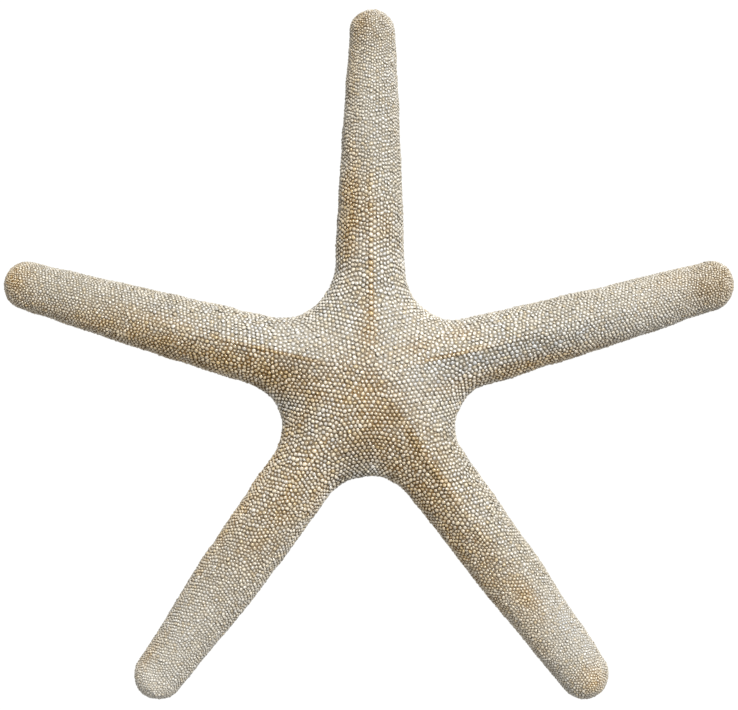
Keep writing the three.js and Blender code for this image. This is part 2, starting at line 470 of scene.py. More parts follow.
def keel_places():
    """A line of granules along every keel, larger where some arms leave the disc, and one at the apex.

    Those that keep to the line come first, and their number with them.
    """
    rows = [np.array([[0.0], [0.0], [0.0], [pitch_at(0)], [0.0]])]
    t_line = np.linspace(0, 3, LINE_STEPS)
    for arm, name in enumerate(ARM_NAMES):
        first, last, swelling = KEEL_LINE[name]
        run = run_along(half_body(2 * arm, t_line, 0))
        stops = [(0.0, pitch_at(0))]
        while stops[-1][0] < run[-1]:
            place = sum(stops[-1])
            swollen = 1 + swelling * float(bump_at(place, SWELLING_AT, SWELLING_REACH))
            stops.append((place, pitch_at(place) * swollen))
        place, pitch = np.array(stops[1:-1]).T
        t = np.interp(place, run, t_line)
        in_line = (place > first) & (place < last)
        rows.append(np.stack([0 * t + 2 * arm, t, 0 * t, pitch, in_line]))
    rows = np.concatenate(rows, axis=1)
    rows = rows[:, np.argsort(rows[4] == 0, kind="stable")]
    return rows[:4], int(rows[4].sum())


def close_pairs(points, reach):
    """Every pair of points nearer than reach, each once, as two index arrays.

    Points are sorted by the cube of side reach that they lie in, and each is compared with those in its own
    cube and in half of the cubes round it.
    """
    cell = np.floor(points / reach).astype(np.int64)
    cell -= cell.min(axis=0) - 1
    size = cell.max(axis=0) + 2
    key = (cell[:, 0] * size[1] + cell[:, 1]) * size[2] + cell[:, 2]
    order = np.argsort(key, kind="stable")
    sorted_key = key[order]
    around = [(x, y, z) for x in (-1, 0, 1) for y in (-1, 0, 1) for z in (-1, 0, 1)]
    firsts = []
    seconds = []
    for x, y, z in around[len(around) // 2:]:
        target = key + (x * size[1] + y) * size[2] + z
        start = np.searchsorted(sorted_key, target, "left")
        stop = np.searchsorted(sorted_key, target, "right")
        for place in range(int((stop - start).max())):
            i = np.nonzero(start + place < stop)[0]
            j = order[start[i] + place]
            near = np.linalg.norm(points[i] - points[j], axis=-1) < reach
            if x == y == z == 0:
                near &= i < j
            firsts.append(i[near])
            seconds.append(j[near])
    return np.concatenate(firsts), np.concatenate(seconds)


def without_crowding(places, share, kept):
    """places without the later of every two nearer than a share of their pitch, but all of the first kept."""
    half, t, v, pitch = places
    points = body(half.astype(int), t, v)
    i, j = close_pairs(points, pitch.max())
    gap = np.linalg.norm(points[i] - points[j], axis=-1)
    crowded = gap < share * (pitch[i] + pitch[j]) / 2
    dropped = np.zeros(len(t), bool)
    dropped[np.maximum(i, j)[crowded]] = True
    dropped[:kept] = False
    return places[:, ~dropped]


def over_seams(half, t, v):
    """Places past a keel, a tip's line or a notch's line, set down as far past on the half-arm beyond it."""
    half = np.where((v < 0) | (t > 3), half ^ 1, half)
    half = np.where(t < 0, NOTCH_NEIGHBOUR[half], half)
    return half, 3 - np.abs(3 - np.abs(t)), np.minimum(np.abs(v), 3)


def settled(places, fixed):
    """places after they have pushed each other apart over the surface, apart from the first fixed ones.

    Each push is a share of the overlap of two places, and the body's tangents turn it into steps of t and v.
    """
    half = places[0].astype(int)
    t, v, pitch = places[1:].copy()
    for _ in range(SETTLING_ROUNDS):
        points = body(half, t, v)
        i, j = close_pairs(points, PUSH_REACH * pitch.max())
        apart = points[i] - points[j]
        gap = np.maximum(np.linalg.norm(apart, axis=-1), TINY)
        overlap = np.maximum(LOOSE_SETTLING * (pitch[i] + pitch[j]) / 2 - gap, 0)
        push = apart * (SETTLING_PUSH * overlap / gap)[:, None]
        move = np.zeros_like(points)
        np.add.at(move, i, push)
        np.add.at(move, j, -push)
        move[:fixed] = 0
        along, across = tangents(half, t, v)
        aa, ab, bb = ((p * q).sum(-1) for p, q in ((along, along), (along, across), (across, across)))
        to_along = (move * along).sum(-1)
        to_across = (move * across).sum(-1)
        det = np.maximum(aa * bb - ab * ab, TINY)
        t = t + np.clip((bb * to_along - ab * to_across) / det, -LONGEST_STEP, LONGEST_STEP)
        v = v + np.clip((aa * to_across - ab * to_along) / det, -LONGEST_STEP, LONGEST_STEP)
        half, t, v = over_seams(half, t, v)
    return np.stack([half, t, v, pitch])


KEEL_STEPS = 301


def keel_place(arm, points):
    """Distance along an arm and across it from its keel, positive to its left, of points in plan."""
    keel_s, keel_c = arm_place(arm, half_body(2 * arm, np.linspace(0, 3, KEEL_STEPS), 0))
    s, c = arm_place(arm, points)
    return s, c - np.interp(s, keel_s, keel_c)


def off_furrow(arm, points):
    """How far points of the underside are from the edge of an arm's furrow or the mouth, negative inside."""
    s, c = arm_place(arm, points)
    past_edge = np.abs(c - bowed(arm, s, 0)) - furrow_half_width(arm, s)
    return np.minimum(np.maximum(past_edge, s - KEEL_END[arm]), np.hypot(s, c) - MOUTH_RADIUS)


def clear_of_furrows(places, margin):
    """places without those on the underside that are nearer to a furrow than the margin."""
    half = places[0].astype(int)
    off = off_furrow(HALF_ARM[half], body(half, places[1], places[2]))
    return places[:, (places[2] < 2) | (off > margin)]


def granule_places():
    """Every granule's half, t, v and pitch: rows and keel lines, thinned, made uneven and settled."""
    keel, fixed = keel_places()
    rows = row_places()
    rows = clear_of_furrows(rows, FURROW_MARGIN)
    places = without_crowding(np.concatenate([keel, rows], axis=1), CROWDING, keel.shape[1])
    along, _, _ = rib(places[0].astype(int), places[1])
    spread = mix(EVEN_SPREAD, UNEVEN_SPREAD, smooth((along - UNEVEN_FROM) / UNEVEN_REACH))
    spread[:fixed] = 0
    places[3] *= 1 + spread * RANDOM.uniform(-1, 1, len(spread))
    return clear_of_furrows(settled(places, fixed), FURROW_LEAST)


KNOB_SIDES = 6
KNOB_SWELLING = (0.03, 0.15)
DOME_RINGS = ((-0.3, 1.0), (0.4, 0.9), (0.82, 0.55))  # height and radius of each, from under the skin up


def knob(rings):
    """A closed shape, about 1 in radius and 1 high: its points, and its faces by number of corners.

    Each of its rings is a (height, radius) turned by half a side from the one below. A point closes them
    above and a flat cap below. Its outline swells by chance twice and three times round.
    """
    n = KNOB_SIDES
    made = []
    start = RANDOM.uniform(0, 2 * math.pi, 2)
    swell = RANDOM.uniform(*KNOB_SWELLING, 2)
    for k, (lift, radius) in enumerate(rings):
        angle = (np.arange(n) + k / 2) * 2 * math.pi / n
        swollen = 1 + swell[0] * np.cos(2 * angle + start[0]) + swell[1] * np.cos(3 * angle + start[1])
        ring = radius * swollen
        made.append(np.stack([ring * np.cos(angle), ring * np.sin(angle), 0 * angle + lift], 1))
    points = np.concatenate(made + [np.array([[0.0, 0.0, 1.0]])])
    corner = np.arange(n)
    after = (corner + 1) % n
    faces = [corner[None, ::-1]]
    for k in range(len(rings) - 1):
        low = k * n
        faces.append(np.stack([corner + low, after + low, after + low + n, corner + low + n], 1))
    top = (len(rings) - 1) * n
    faces.append(np.stack([corner + top, after + top, np.full(n, top + n)], 1))
    return points, faces


def frames(normal, along):
    """Three square axes for each normal, (count, 3, 3) with the axes as columns, the first near along."""
    first = unit(along - normal * (along * normal).sum(-1, keepdims=True))
    return np.stack([first, np.cross(normal, first), normal], axis=-1)


def spun(axes, angle):
    """Axes turned about their own third one."""
    cos = np.cos(angle)[:, None]
    sin = np.sin(angle)[:, None]
    first = axes[..., 0] * cos + axes[..., 1] * sin
    second = axes[..., 1] * cos - axes[..., 0] * sin
    return np.stack([first, second, axes[..., 2]], axis=-1)


def copies(shape, axes, scale, places, values):
    """A shape repeated at every place, turned by axes and scaled in x, y and z.

    Returns its points, its faces and, for each point, its copy's values and how high on the shape it is.
    """
    points, faces = shape
    moved = np.einsum("nij,nkj->nki", axes, points[None] * scale[:, None]) + places[:, None]
    first = np.arange(len(places))[:, None, None] * len(points)
    attributes = {key: np.repeat(each, len(points)) for key, each in values.items()}
    attributes["crest"] = np.tile(points[:, 2], len(places))
    return moved.reshape(-1, 3), [(f[None] + first).reshape(-1, f.shape[1]) for f in faces], attributes


def joined(parts):
    """Several sets of points, faces and attributes as one."""
    points = np.concatenate([part[0] for part in parts])
    first = np.cumsum([0] + [len(part[0]) for part in parts])
    faces = [f + start for part, start in zip(parts, first) for f in part[1]]
    attributes = {key: np.concatenate([part[2][key] for part in parts]) for key in parts[0][2]}
    return points, faces, attributes


# Meshes

def new_piece(name, shape, material):
    """A Blender object, all smooth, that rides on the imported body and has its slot.

    Its shape is its points in millimetres of the plan, a list of arrays of faces' corners, and attributes
    that give one number for each point by name.
    """
    points, faces, attributes = shape
    corners = np.concatenate([f.ravel() for f in faces]).astype(np.int32)
    totals = np.concatenate([np.full(len(f), f.shape[1]) for f in faces]).astype(np.int32)
    mesh = bpy.data.meshes.new(name)
    mesh.vertices.add(len(points))
    mesh.vertices.foreach_set("co", ((points + PLAN_SHIFT) * MM).astype(np.float32).ravel())
    mesh.loops.add(len(corners))
    mesh.loops.foreach_set("vertex_index", corners)
    mesh.polygons.add(len(totals))
    mesh.polygons.foreach_set("loop_start", np.concatenate([[0], np.cumsum(totals)[:-1]]).astype(np.int32))
    mesh.polygons.foreach_set("use_smooth", np.ones(len(totals), bool))
    for key, values in attributes.items():
        layer = mesh.attributes.new(key, "FLOAT", "POINT")
        layer.data.foreach_set("value", values.astype(np.float32))
    mesh.update(calc_edges=True)
    mesh.validate()
    mesh.materials.append(material)
    piece = bpy.data.objects.new(name, mesh)
    bpy.context.scene.collection.objects.link(piece)
    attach(piece, "root")
    return piece


FAR_FROM = 24.0  # from the middle of the disc, where the arms start to be duller
FAR_REACH = 26.0  # over which they get so

# Stain and painted light by kind and arm. Each is a soft oval: how far along the arm and across it from its
# keel, its reaches that way, and its strength.
STAINS_AND_PAINTED_LIGHT = {
    # stain, apart from the long narrow ovals along the outlines of the sides turned from the light, which only
    # warm those sides
    "gold": {
        "right": (
            (1, -3, 6, 6, 0.2), (12, 3.5, 5, 2, 0.35), (20, 0.2, 9, 0.5, 0.75), (22, 4, 4, 1.5, 0.4),
            (36, -6.6, 20, 1.8, 0.8), (69, 3.8, 5, 1.6, 0.25), (70, -1, 12, 4, 0.1), (79, 0, 5, 5, 0.45),
        ),
        "top": (
            (12, 0.8, 7, 2.2, 0.5), (20, 0.1, 10, 0.6, 0.8), (22, 4, 9, 3.5, 0.1), (33, 5.5, 7, 1.6, 0.5),
            (34, -3, 4, 2, 0.35), (37, 0.3, 8, 1.3, 0.55), (37, 4.6, 9, 2.2, 0.9), (48, 4.5, 8, 1.5, 0.45),
            (68, 4.4, 8, 1.6, 0.5), (78, 3, 4, 2, 0.5),
        ),
        "left": (
            (20, 6, 9, 2.6, 0.9), (21, 0.2, 12, 0.6, 0.95), (26, 2.5, 12, 2, 0.35), (34, 5, 12, 2, 0.7),
            (38, 7, 22, 1.5, 0.8), (48, -0.5, 12, 2, 0.35), (50, 4, 26, 2.8, 0.85), (81, 0, 4, 4.5, 0.85),
        ),
        "lower_left": (
            (6, -1, 3.5, 0.8, 0.4), (8, 6, 7, 4, 0.4), (18, -7.5, 12, 2, 0.45), (22, 0.35, 10, 0.7, 0.6),
            (26, 6.2, 6, 1.6, 0.45), (28, 0, 26, 8, 0.35), (34, 2, 5, 2.2, 0.4), (36, -6.6, 20, 1.6, 0.65),
            (43, 0.5, 3.2, 2.2, 0.3), (76, -4.6, 5, 1.3, 0.5),
        ),
        "lower_right": (
            (16, -0.3, 11, 0.9, 1.0), (18, -8, 7, 2, 0.6), (18, 3.2, 10, 2.5, 0.25), (21, -0.5, 6, 1, 0.6),
            (24, -4, 26, 4.0, 0.6), (27, 0.3, 6, 0.7, 0.75), (28, -4.6, 3.5, 1.6, 0.8),
            (42, -6.4, 22, 1.6, 0.75), (42, -1.5, 6, 2.5, 0.4), (52, -4, 12, 2, 0.3),
            (57, -0.5, 6, 2.6, 0.7), (67, -4, 5, 1.5, 0.35), (81, 0.5, 3.5, 3.5, 0.65),
        ),
    },
    # partly brown stain, partly painted shade, as below the left arm's keel near the disc
    "dark_stain_and_shade": {
        "right": ((2, -8.5, 4, 2, 0.5), (20, 0.1, 9, 0.45, 0.5), (36, -6, 14, 2, 0.4), (78, 0, 5, 5, 0.9)),
        "top": ((35, 5.4, 8, 1.8, 0.6), (78, 0, 6, 5, 0.55)),
        "left": (
            (15, 3.5, 6, 3.5, 0.65), (18, 6, 5.5, 3.2, 0.75), (19, 0.1, 12, 0.5, 0.7),
            (42, 5, 16, 2.6, 0.55), (80, 1, 4, 4, 0.45),
        ),
        "lower_left": ((12, -8, 8, 3, 0.3), (13, 8, 5, 3, 0.7), (40, 1, 8, 3, 0.2)),
        "lower_right": (
            (6, 0, 6, 2.5, 0.3), (8, -9, 6, 5, 0.2), (14, -7.5, 6, 3, 0.5), (17, -0.3, 13, 1.4, 1.0),
            (26, -4.5, 12, 3, 0.35), (50, -0.5, 14, 2.2, 0.35),
        ),
    },
    "grey": {
        "right": ((14, -5, 8, 3.5, 0.6), (36, -2.5, 22, 3, 0.6), (62, 0, 14, 5, 0.35)),
        "top": ((15, -4, 8, 4, 0.4), (55, -3, 16, 3, 0.35)),
        "left": ((18, -5, 10, 3.5, 0.4), (48, -2, 5, 2, 0.4)),
        "lower_left": ((17, 2.2, 7, 1.2, 0.5), (66, 0, 14, 6, 0.3)),
        "lower_right": ((68, 3.5, 12, 3, 0.6),),
    },
    # partly a paler tone, partly painted light, as on the lower left arm's tip
    "pale_and_painted_light": {
        "right": (
            (6, -5, 10, 9, 0.2), (22, 5, 10, 5, 0.3), (26, -5, 8, 3, 0.25), (45, 3, 18, 3, 0.15),
            (62, -4, 9, 4, 0.25), (64, 4, 9, 5, 0.35),
        ),
        "top": (
            (6, 8, 6, 6, 0.3), (10, -6, 10, 6, 0.3), (12, -6, 8, 6, 0.2), (20, 5, 8, 4, 0.25),
            (28, 1.8, 4.5, 2.5, 0.4), (60, 2, 14, 4, 0.3),
        ),
        "left": ((11, -7, 8, 4, 0.2), (17, -3.5, 4.5, 4.5, 0.45), (24, -4, 16, 4, 0.2)),
        "lower_left": ((70, 0, 16, 6, 0.5), (82, 0, 5, 7, 1.0)),
        "lower_right": ((10, 7, 8, 5, 0.35), (64, -3, 15, 5, 0.75), (68, 4, 12, 3, 0.4), (76, 2, 6, 5, 0.15)),
    },
    # painted shade, greying the outlines of the lit sides and some tips
    "painted_shade": {
        "right": ((45, 7.5, 32, 2, 0.6), (79, 0, 5, 6, 0.45)),
        "top": ((45, -7, 32, 2.6, 0.65),),
        "left": ((16, -9, 6, 5, 0.15), (45, -7.5, 32, 2, 0.45), (66, -4, 12, 4, 0.4)),
        "lower_right": ((20, 6, 8, 4, 0.5), (45, 7, 32, 2, 0.45)),
    },
}


def stain_and_painted_light_at(on_arms, ovals_by_arm):
    """Strength of one kind of stain and painted light, 0 to 1, at points given by their places on each arm.
    Ovals that overlap add up like layers."""
    bare = 1.0
    for arm_name, ovals in ovals_by_arm.items():
        s, c = on_arms[arm_name]
        for along, across, reach_along, reach_across, strength in ovals:
            bare = bare * (1 - strength * bump_at(s, along, reach_along) * bump_at(c, across, reach_across))
    return 1 - bare


def stain_and_painted_light_attributes(points):
    """What colours the surface at points: its stain, its painted light and shade, and how far out along an arm
    it is.
    """
    on_arms = {name: keel_place(arm, points) for arm, name in enumerate(ARM_NAMES)}
    values = {kind: stain_and_painted_light_at(on_arms, ovals_by_arm) for kind, ovals_by_arm in STAINS_AND_PAINTED_LIGHT.items()}
    out = np.hypot(points[:, 0], points[:, 1])
    return {**values, "far": smooth((out - FAR_FROM) / FAR_REACH)}


# Materials

class Wire:
    """One output of a shader node. Sums and products of wires and numbers add Math nodes."""

    def __init__(self, tree, socket):
        self.tree = tree
        self.socket = socket

    def math(self, operation, *values):
        return node(self.tree, "ShaderNodeMath", {"operation": operation}, *values)

    def __add__(self, other):
        return self.math("ADD", self, other)

    def __mul__(self, other):
        return self.math("MULTIPLY", self, other)

    __radd__ = __add__
    __rmul__ = __mul__

    def between(self, low, high):
        """0 at low, 1 at high and straight between, or falling where high is the lower."""
        settings = {"clamp": True}
        return node(self.tree, "ShaderNodeMapRange", settings, self, low, high, 0.0, 1.0)


def node(tree, kind, settings, *values, output=0, **named):
    """Adds a node: its type, its settings, the values or wires of its first inputs in order, and the values
    or wires of inputs by name, with _ for a space. Returns the wire of one output."""
    made = tree.nodes.new(kind)
    for key, value in settings.items():
        setattr(made, key, value)
    pairs = list(zip(made.inputs, values)) + [(made.inputs[k.replace("_", " ")], w) for k, w in named.items()]
    for socket, value in pairs:
        if isinstance(value, Wire):
            tree.links.new(value.socket, socket)
        elif value is not None:
            socket.default_value = value
    return Wire(tree, made.outputs[output]) if len(made.outputs) else None


def new_material(name):
    material = bpy.data.materials.new(name)
    material.use_nodes = True
    tree = material.node_tree
    tree.nodes.clear()
    return material, tree


def attributes_of(tree, *names):
    return [node(tree, "ShaderNodeAttribute", {"attribute_name": name}, output="Fac") for name in names]


def noise(tree, size, detail=2.0, roughness=0.5):
    """Noise of about 0 to 1 whose lumps are size metres across, over the object's own place."""
    place = node(tree, "ShaderNodeTexCoord", {}, output="Object")
    return node(
        tree, "ShaderNodeTexNoise", {}, Vector=place, Scale=1 / size, Detail=detail, Roughness=roughness
    )


def blended(tree, share, low, high):
    """The colour low where share is 0 and high where it is 1."""
    made = tree.nodes.new("ShaderNodeMix")
    made.data_type = "RGBA"
    made.clamp_factor = True
    for key, value in (("Factor_Float", share), ("A_Color", low), ("B_Color", high)):
        socket = next(s for s in made.inputs if s.identifier == key)
        if isinstance(value, Wire):
            tree.links.new(value.socket, socket)
        else:
            socket.default_value = value if key == "Factor_Float" else (*value, 1.0)
    return Wire(tree, next(s for s in made.outputs if s.identifier == "Result_Color"))


def layered(tree, color, *layers):
    """A colour with layers over it, each a (share, colour) blended over all before it."""
    for share, over in layers:
        color = blended(tree, share, color, over)
    return color


def srgb(red, green, blue):
    """A colour of 0 to 255 as Blender's linear light."""
    values = np.array([red, green, blue]) / 255
    return tuple(np.where(values <= 0.04045, values / 12.92, ((values + 0.055) / 1.055) ** 2.4).tolist())


# On the granules.
# The first colour is the dullest granules' tone, and also the grey of the painted shade near the outlines.
DUST_AND_SHADE = srgb(166, 157, 139)
CREAM = srgb(202, 196, 184)
BONE = srgb(217, 212, 202)
STRAW = srgb(212, 195, 150)
GREY = srgb(164, 169, 175)
DULL = srgb(163, 156, 141)
GOLD = srgb(196, 172, 122)
BROWN = srgb(138, 112, 70)

# Between them: darker partly as the tissue's own colour and partly as painted shade between the granules.
CREVICE = srgb(124, 117, 102)
TISSUE = srgb(108, 99, 82)
CHALK_AND_PAINTED_LIGHT = srgb(190, 184, 170)
OCHRE = srgb(136, 101, 48)
UMBER = srgb(88, 67, 36)

# In the furrows.
SINEW = srgb(120, 97, 66)
AMBER = srgb(156, 120, 76)

# How large the lumps of each noise are, and how deep each relief is, in metres.
STAIN_AND_SHADE_LUMPS = 0.003
SKIN_PATCHES = 0.0015
GLOSS_PATCHES = 0.0007
GRANULE_GRAIN = 0.00025
GRANULE_RELIEF = 0.00002
SKIN_GRAIN = 0.0003
SKIN_RELIEF = 0.00008
FOOT_GRAIN = 0.0002
FOOT_RELIEF = 0.00004

GRANULE_GLOSS = (0.18, 0.14, 0.9)  # least roughness, what noise adds to that, and shine
SKIN_GLOSS = (0.85, 0.3)  # roughness and shine
FOOT_GLOSS = (0.5, 0.5)

# For each kind of stain and painted shade that noise breaks up: its least share, and what noise adds to that
# between two values.
BROKEN_STAINS_AND_SHADE = {"gold": (0.6, 0.6, 0.3, 0.62), "dark_stain_and_shade": (0.4, 0.6, 0.35, 0.6), "grey": (0.0, 1.0, 0.3, 0.6)}


def finish(tree, color, roughness, shine, bump_height, bump_depth):
    """The surface that a material ends in, with a bump whose full height is bump_depth metres."""
    bump = node(
        tree, "ShaderNodeBump", {}, Strength=1.0, Distance=bump_depth, Height=bump_height, output="Normal"
    )
    surface = node(
        tree, "ShaderNodeBsdfPrincipled", {}, Base_Color=color, Roughness=roughness, Normal=bump,
        Specular_IOR_Level=shine,
    )
    node(tree, "ShaderNodeOutputMaterial", {}, Surface=surface)


def stain_and_shade_shares(tree):
    """How gold, how brown and how grey the surface is, 0 to 1, with the edges of the stain and painted shade
    broken up by noise. The brown is partly stain and partly painted shade.
    """
    broken = noise(tree, STAIN_AND_SHADE_LUMPS, 3.0, 0.6)
    shares = [least + more * broken.between(low, high) for least, more, low, high in BROKEN_STAINS_AND_SHADE.values()]
    return [stain * share for stain, share in zip(attributes_of(tree, *BROKEN_STAINS_AND_SHADE), shares)]


def crevice_color(tree, plain, gold, dark_stain_and_shade):
    """The colour low between the granules, where stain has settled most. Its paler patches are partly chalk
    and partly painted light, and its brown ones partly stain and partly painted shade.
    """
    far, pale_and_painted_light = attributes_of(tree, "far", "pale_and_painted_light")
    return layered(tree, plain, (0.3 * far, DULL), (pale_and_painted_light, CHALK_AND_PAINTED_LIGHT), (gold, OCHRE), (dark_stain_and_shade, UMBER))


def granule_material():
    """Chalky cream granules, each a little different and stained in places. Their sides go over to the
    crevices' darker colour, partly the tissue's own and partly painted shade. Patches of painted light and
    painted shade lie over them, and painted shade makes them darker towards the outline.
    """
    material, tree = new_material("granules")
    tint, hue, crest, edge = attributes_of(tree, "tint", "hue", "crest", "edge")
    pale_and_painted_light, far, painted_shade = attributes_of(tree, "pale_and_painted_light", "far", "painted_shade")
    gold, dark_stain_and_shade, grey = stain_and_shade_shares(tree)
    freckle = 0.25 * tint.between(0.2, 0.05)
    top = layered(
        tree, DUST_AND_SHADE,
        (tint.between(0.0, 0.5), CREAM),
        (tint.between(0.5, 1.0), BONE),
        (0.35 * hue.between(0.5, 1.0), STRAW),
        (0.55 * hue.between(0.4, 0.0), GREY),
        # partly painted light: the paler patches lift the granules' tops
        (0.5 * pale_and_painted_light, BONE),
        (0.4 * far, DULL),
        (grey, GREY),
        (0.7 * gold + freckle, GOLD),
        (0.65 * dark_stain_and_shade, BROWN),
        # painted shade: darker towards the outline and under the arm, and along the lit sides' outlines
        (0.2 * edge + 0.7 * painted_shade, DUST_AND_SHADE),
    )
    side = crevice_color(tree, CREVICE, gold + freckle, dark_stain_and_shade)
    # Down each granule's sides the colour goes over to the crevices' one: partly the tissue's colour, and
    # partly painted shade that leaves the lightest colour on the tips.
    crown = 0.65 * crest.between(0.02, 0.4) + 0.35 * crest.between(0.4, 0.95)
    color = blended(tree, crown, side, top)
    least, more, shine = GRANULE_GLOSS
    roughness = least + more * noise(tree, GLOSS_PATCHES)
    finish(tree, color, roughness, shine, noise(tree, GRANULE_GRAIN), GRANULE_RELIEF)
    return material


def skin_material():
    """The dry brown skin between the granules."""
    material, tree = new_material("skin")
    gold, dark_stain_and_shade, _ = stain_and_shade_shares(tree)
    patches = noise(tree, SKIN_PATCHES, 3.0)
    [furrow] = attributes_of(tree, "furrow")
    color = blended(tree, patches.between(0.3, 0.7), CREVICE, TISSUE)
    color = crevice_color(tree, color, gold, dark_stain_and_shade)
    color = blended(tree, 0.85 * furrow, color, SINEW)
    finish(tree, color, *SKIN_GLOSS, noise(tree, SKIN_GRAIN, 3.0), SKIN_RELIEF)
    return material


def foot_material():
    """Amber brown, shrunken and half glossy feet, each a little different, with dusty ends."""
    material, tree = new_material("tube_feet")
    tint, crest = attributes_of(tree, "tint", "crest")
    color = layered(tree, SINEW, (tint, AMBER), (0.6 * crest.between(0.8, 1.0), DUST_AND_SHADE))
    finish(tree, color, *FOOT_GLOSS, noise(tree, FOOT_GRAIN), FOOT_RELIEF)
    return material


# The starfish

DISC_REACH = 23.0  # from the middle, up to which granules belong to the disc's piece
GRANULE_SHARE = 1.04  # a granule's width in its pitch
RADIUS_SPREAD = (0.82, 1.06)
OVAL_SPREAD = (0.9, 1.1)
HEIGHT_SPREAD = (0.62, 1.0)
SOLE_HEIGHT = 0.95  # of the skin's depth under the body, at most, on the underside
LEANING = 0.26  # of granules off the skin's normal, in radians
MOST_LEANING = 0.55
SOLE_LEANING = 0.3  # share of it on the underside
RIM_SHADE_FROM = 0.55  # of the flank, beyond which the granules get darker: painted shade
GRANULE_KINDS = 6


def make_granules(material):
    """Every granule as a dome on the skin whose tip touches the body, in one mesh for the disc and one for
    each arm."""
    places = granule_places()
    half = places[0].astype(int)
    t, v, pitch = places[1:]
    points = body(half, t, v)
    normal = outward(half, t, v)
    on_keel = v < TINY
    other = outward(half ^ 1, t, v)
    normal = np.where(on_keel[:, None], unit(normal + other), normal)
    along, _ = tangents(half, t, v)
    count = len(t)
    leaning = RANDOM.normal(0, LEANING, (count, 3)).clip(-MOST_LEANING, MOST_LEANING)
    leaning = leaning * mix(1, SOLE_LEANING, smooth(v - 1))[:, None]
    spin = RANDOM.uniform(0, 2 * math.pi, count)
    axes = spun(frames(unit(normal + leaning), along), spin)
    radius = pitch / 2 * GRANULE_SHARE * RANDOM.uniform(*RADIUS_SPREAD, count)
    oval = RANDOM.uniform(*OVAL_SPREAD, count)
    height = HEIGHT_SHARE * pitch * RANDOM.uniform(*HEIGHT_SPREAD, count)
    keel, _, _ = rib(half, t)
    inset = HEIGHT_SHARE * pitch_at(keel)
    height = np.where(v > 1, np.minimum(height, SOLE_HEIGHT * inset), height)
    scale = np.stack([radius * oval, radius / oval, height], axis=-1)
    roots = points + normal * (unevenness(points) - inset)[:, None]
    # painted shade: the granules go darker towards the outline and under the arm
    edge = smooth((v - RIM_SHADE_FROM) / (1 - RIM_SHADE_FROM))
    values = {**stain_and_painted_light_attributes(points), "edge": edge}
    values["tint"], values["hue"] = RANDOM.uniform(0, 1, (2, count))
    kinds = [knob(DOME_RINGS) for _ in range(GRANULE_KINDS)]
    kind = RANDOM.integers(0, GRANULE_KINDS, count)
    group = np.where(np.hypot(points[:, 0], points[:, 1]) < DISC_REACH, ARMS, HALF_ARM[half])
    for number, name in enumerate(ARM_NAMES + ("disc",)):
        made = []
        for k, shape in enumerate(kinds):
            mine = (group == number) & (kind == k)
            own_values = {key: value[mine] for key, value in values.items()}
            made.append(copies(shape, axes[mine], scale[mine], roots[mine], own_values))
        new_piece("granules_" + name, joined(made), material)


FURROW_SHADE = 0.6  # in from the furrow's edge, over which its colour comes in
FURROW_TOP = 4.5  # above its roof


def make_skin(material):
    """The body's skin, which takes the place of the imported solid."""
    points, faces = skin_mesh()
    inside = np.max([-off_furrow(arm, points) for arm in range(ARMS)], axis=0)
    furrow = smooth(inside / FURROW_SHADE) * (points[:, 2] < FURROW_TOP)
    skin = new_piece("skin", (points, [faces], {**stain_and_painted_light_attributes(points), "furrow": furrow}), material)
    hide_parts("starfish")


# The furrows' spines and feet. Places beside a furrow are measured out from its edge.

FURROW_STEPS = 400
SPINE_SHARE = 0.9  # of the granules' pitch, from one spine to the next
SPINE_RADIUS = 0.36  # of that
SPINE_RINGS = ((0.0, 0.8), (0.35, 1.0), (0.8, 0.92), (0.95, 0.6))
STUB_RINGS = ((0.0, 1.1), (0.6, 1.25), (0.9, 0.85))
SPINE_FROM = 3.9  # along the arm
STUB_FROM = 4.8
SPINES_TO = 1.2  # short of the keel's end
SPINE_BASE = (0.25, 0.95)  # out from the edge, and up
SPINE_TIP_UP = 0.42
SPINE_OVER = 0.42  # share of the furrow's half width that a spine's tip is off its middle
STUB_BASE = (0.98, 0.8)
STUB_TIP = (0.72, 0.06)
LOOSENESS = 0.12  # of the tips' places, in millimetres

# At each of the mouth's corners: out from the middle, and how far each side, and up, at the base and the tip.
MOUTH_SPINES = (
    ((3.9, 0.34, 0.9), (2.3, 0.2, 0.5)),
    ((4.75, 0.42, 0.85), (4.2, 0.36, 0.12)),
    ((5.6, 0.34, 0.8), (5.3, 0.34, 0.08)),
)
MOUTH_SPINE_RADIUS = 0.3

FOOT_SHARE = 1.45
FOOT_FROM = 2.6
FEET_TO = 3.0
FOOT_OFF = 0.45  # of the furrow's half width, off its middle
FOOT_RADIUS = 0.24
FOOT_ROOT = 0.45  # up from the furrow's roof, inside the skin
FOOT_REACH = 0.32  # share of the roof's height that a foot stops at
FOOT_LEAST = 0.35
FOOT_LOOSENESS = 0.3
FOOT_RINGS = ((0.0, 0.75), (0.45, 0.6), (0.84, 0.55), (0.93, 1.1), (1.04, 0.95))


def places_beside(share, first, last):
    """Places down both sides of every furrow, share of the granules' pitch apart: arm, side, s and pitch."""
    rows = []
    for arm in range(ARMS):
        line = np.linspace(first, KEEL_END[arm] - last, FURROW_STEPS)
        run = run_along(line[:, None], share * pitch_at(line))
        s = np.interp(np.arange(0.5, run[-1]), run, line)
        rows += [np.stack([0 * s + arm, 0 * s + side, s, share * pitch_at(s)]) for side in (1, -1)]
    rows = np.concatenate(rows, axis=1)
    return rows[0].astype(int), rows[1], rows[2], rows[3]


def loose(count, amount=LOOSENESS):
    return RANDOM.uniform(-amount, amount, (count, 3))


def beside(arm, s, c, z):
    """Points at s along an arm, c across it with its bow, and z up."""
    x, y = in_plan(arm, s, bowed(arm, s, c))
    return np.stack([x, y, z + 0 * x], axis=-1)


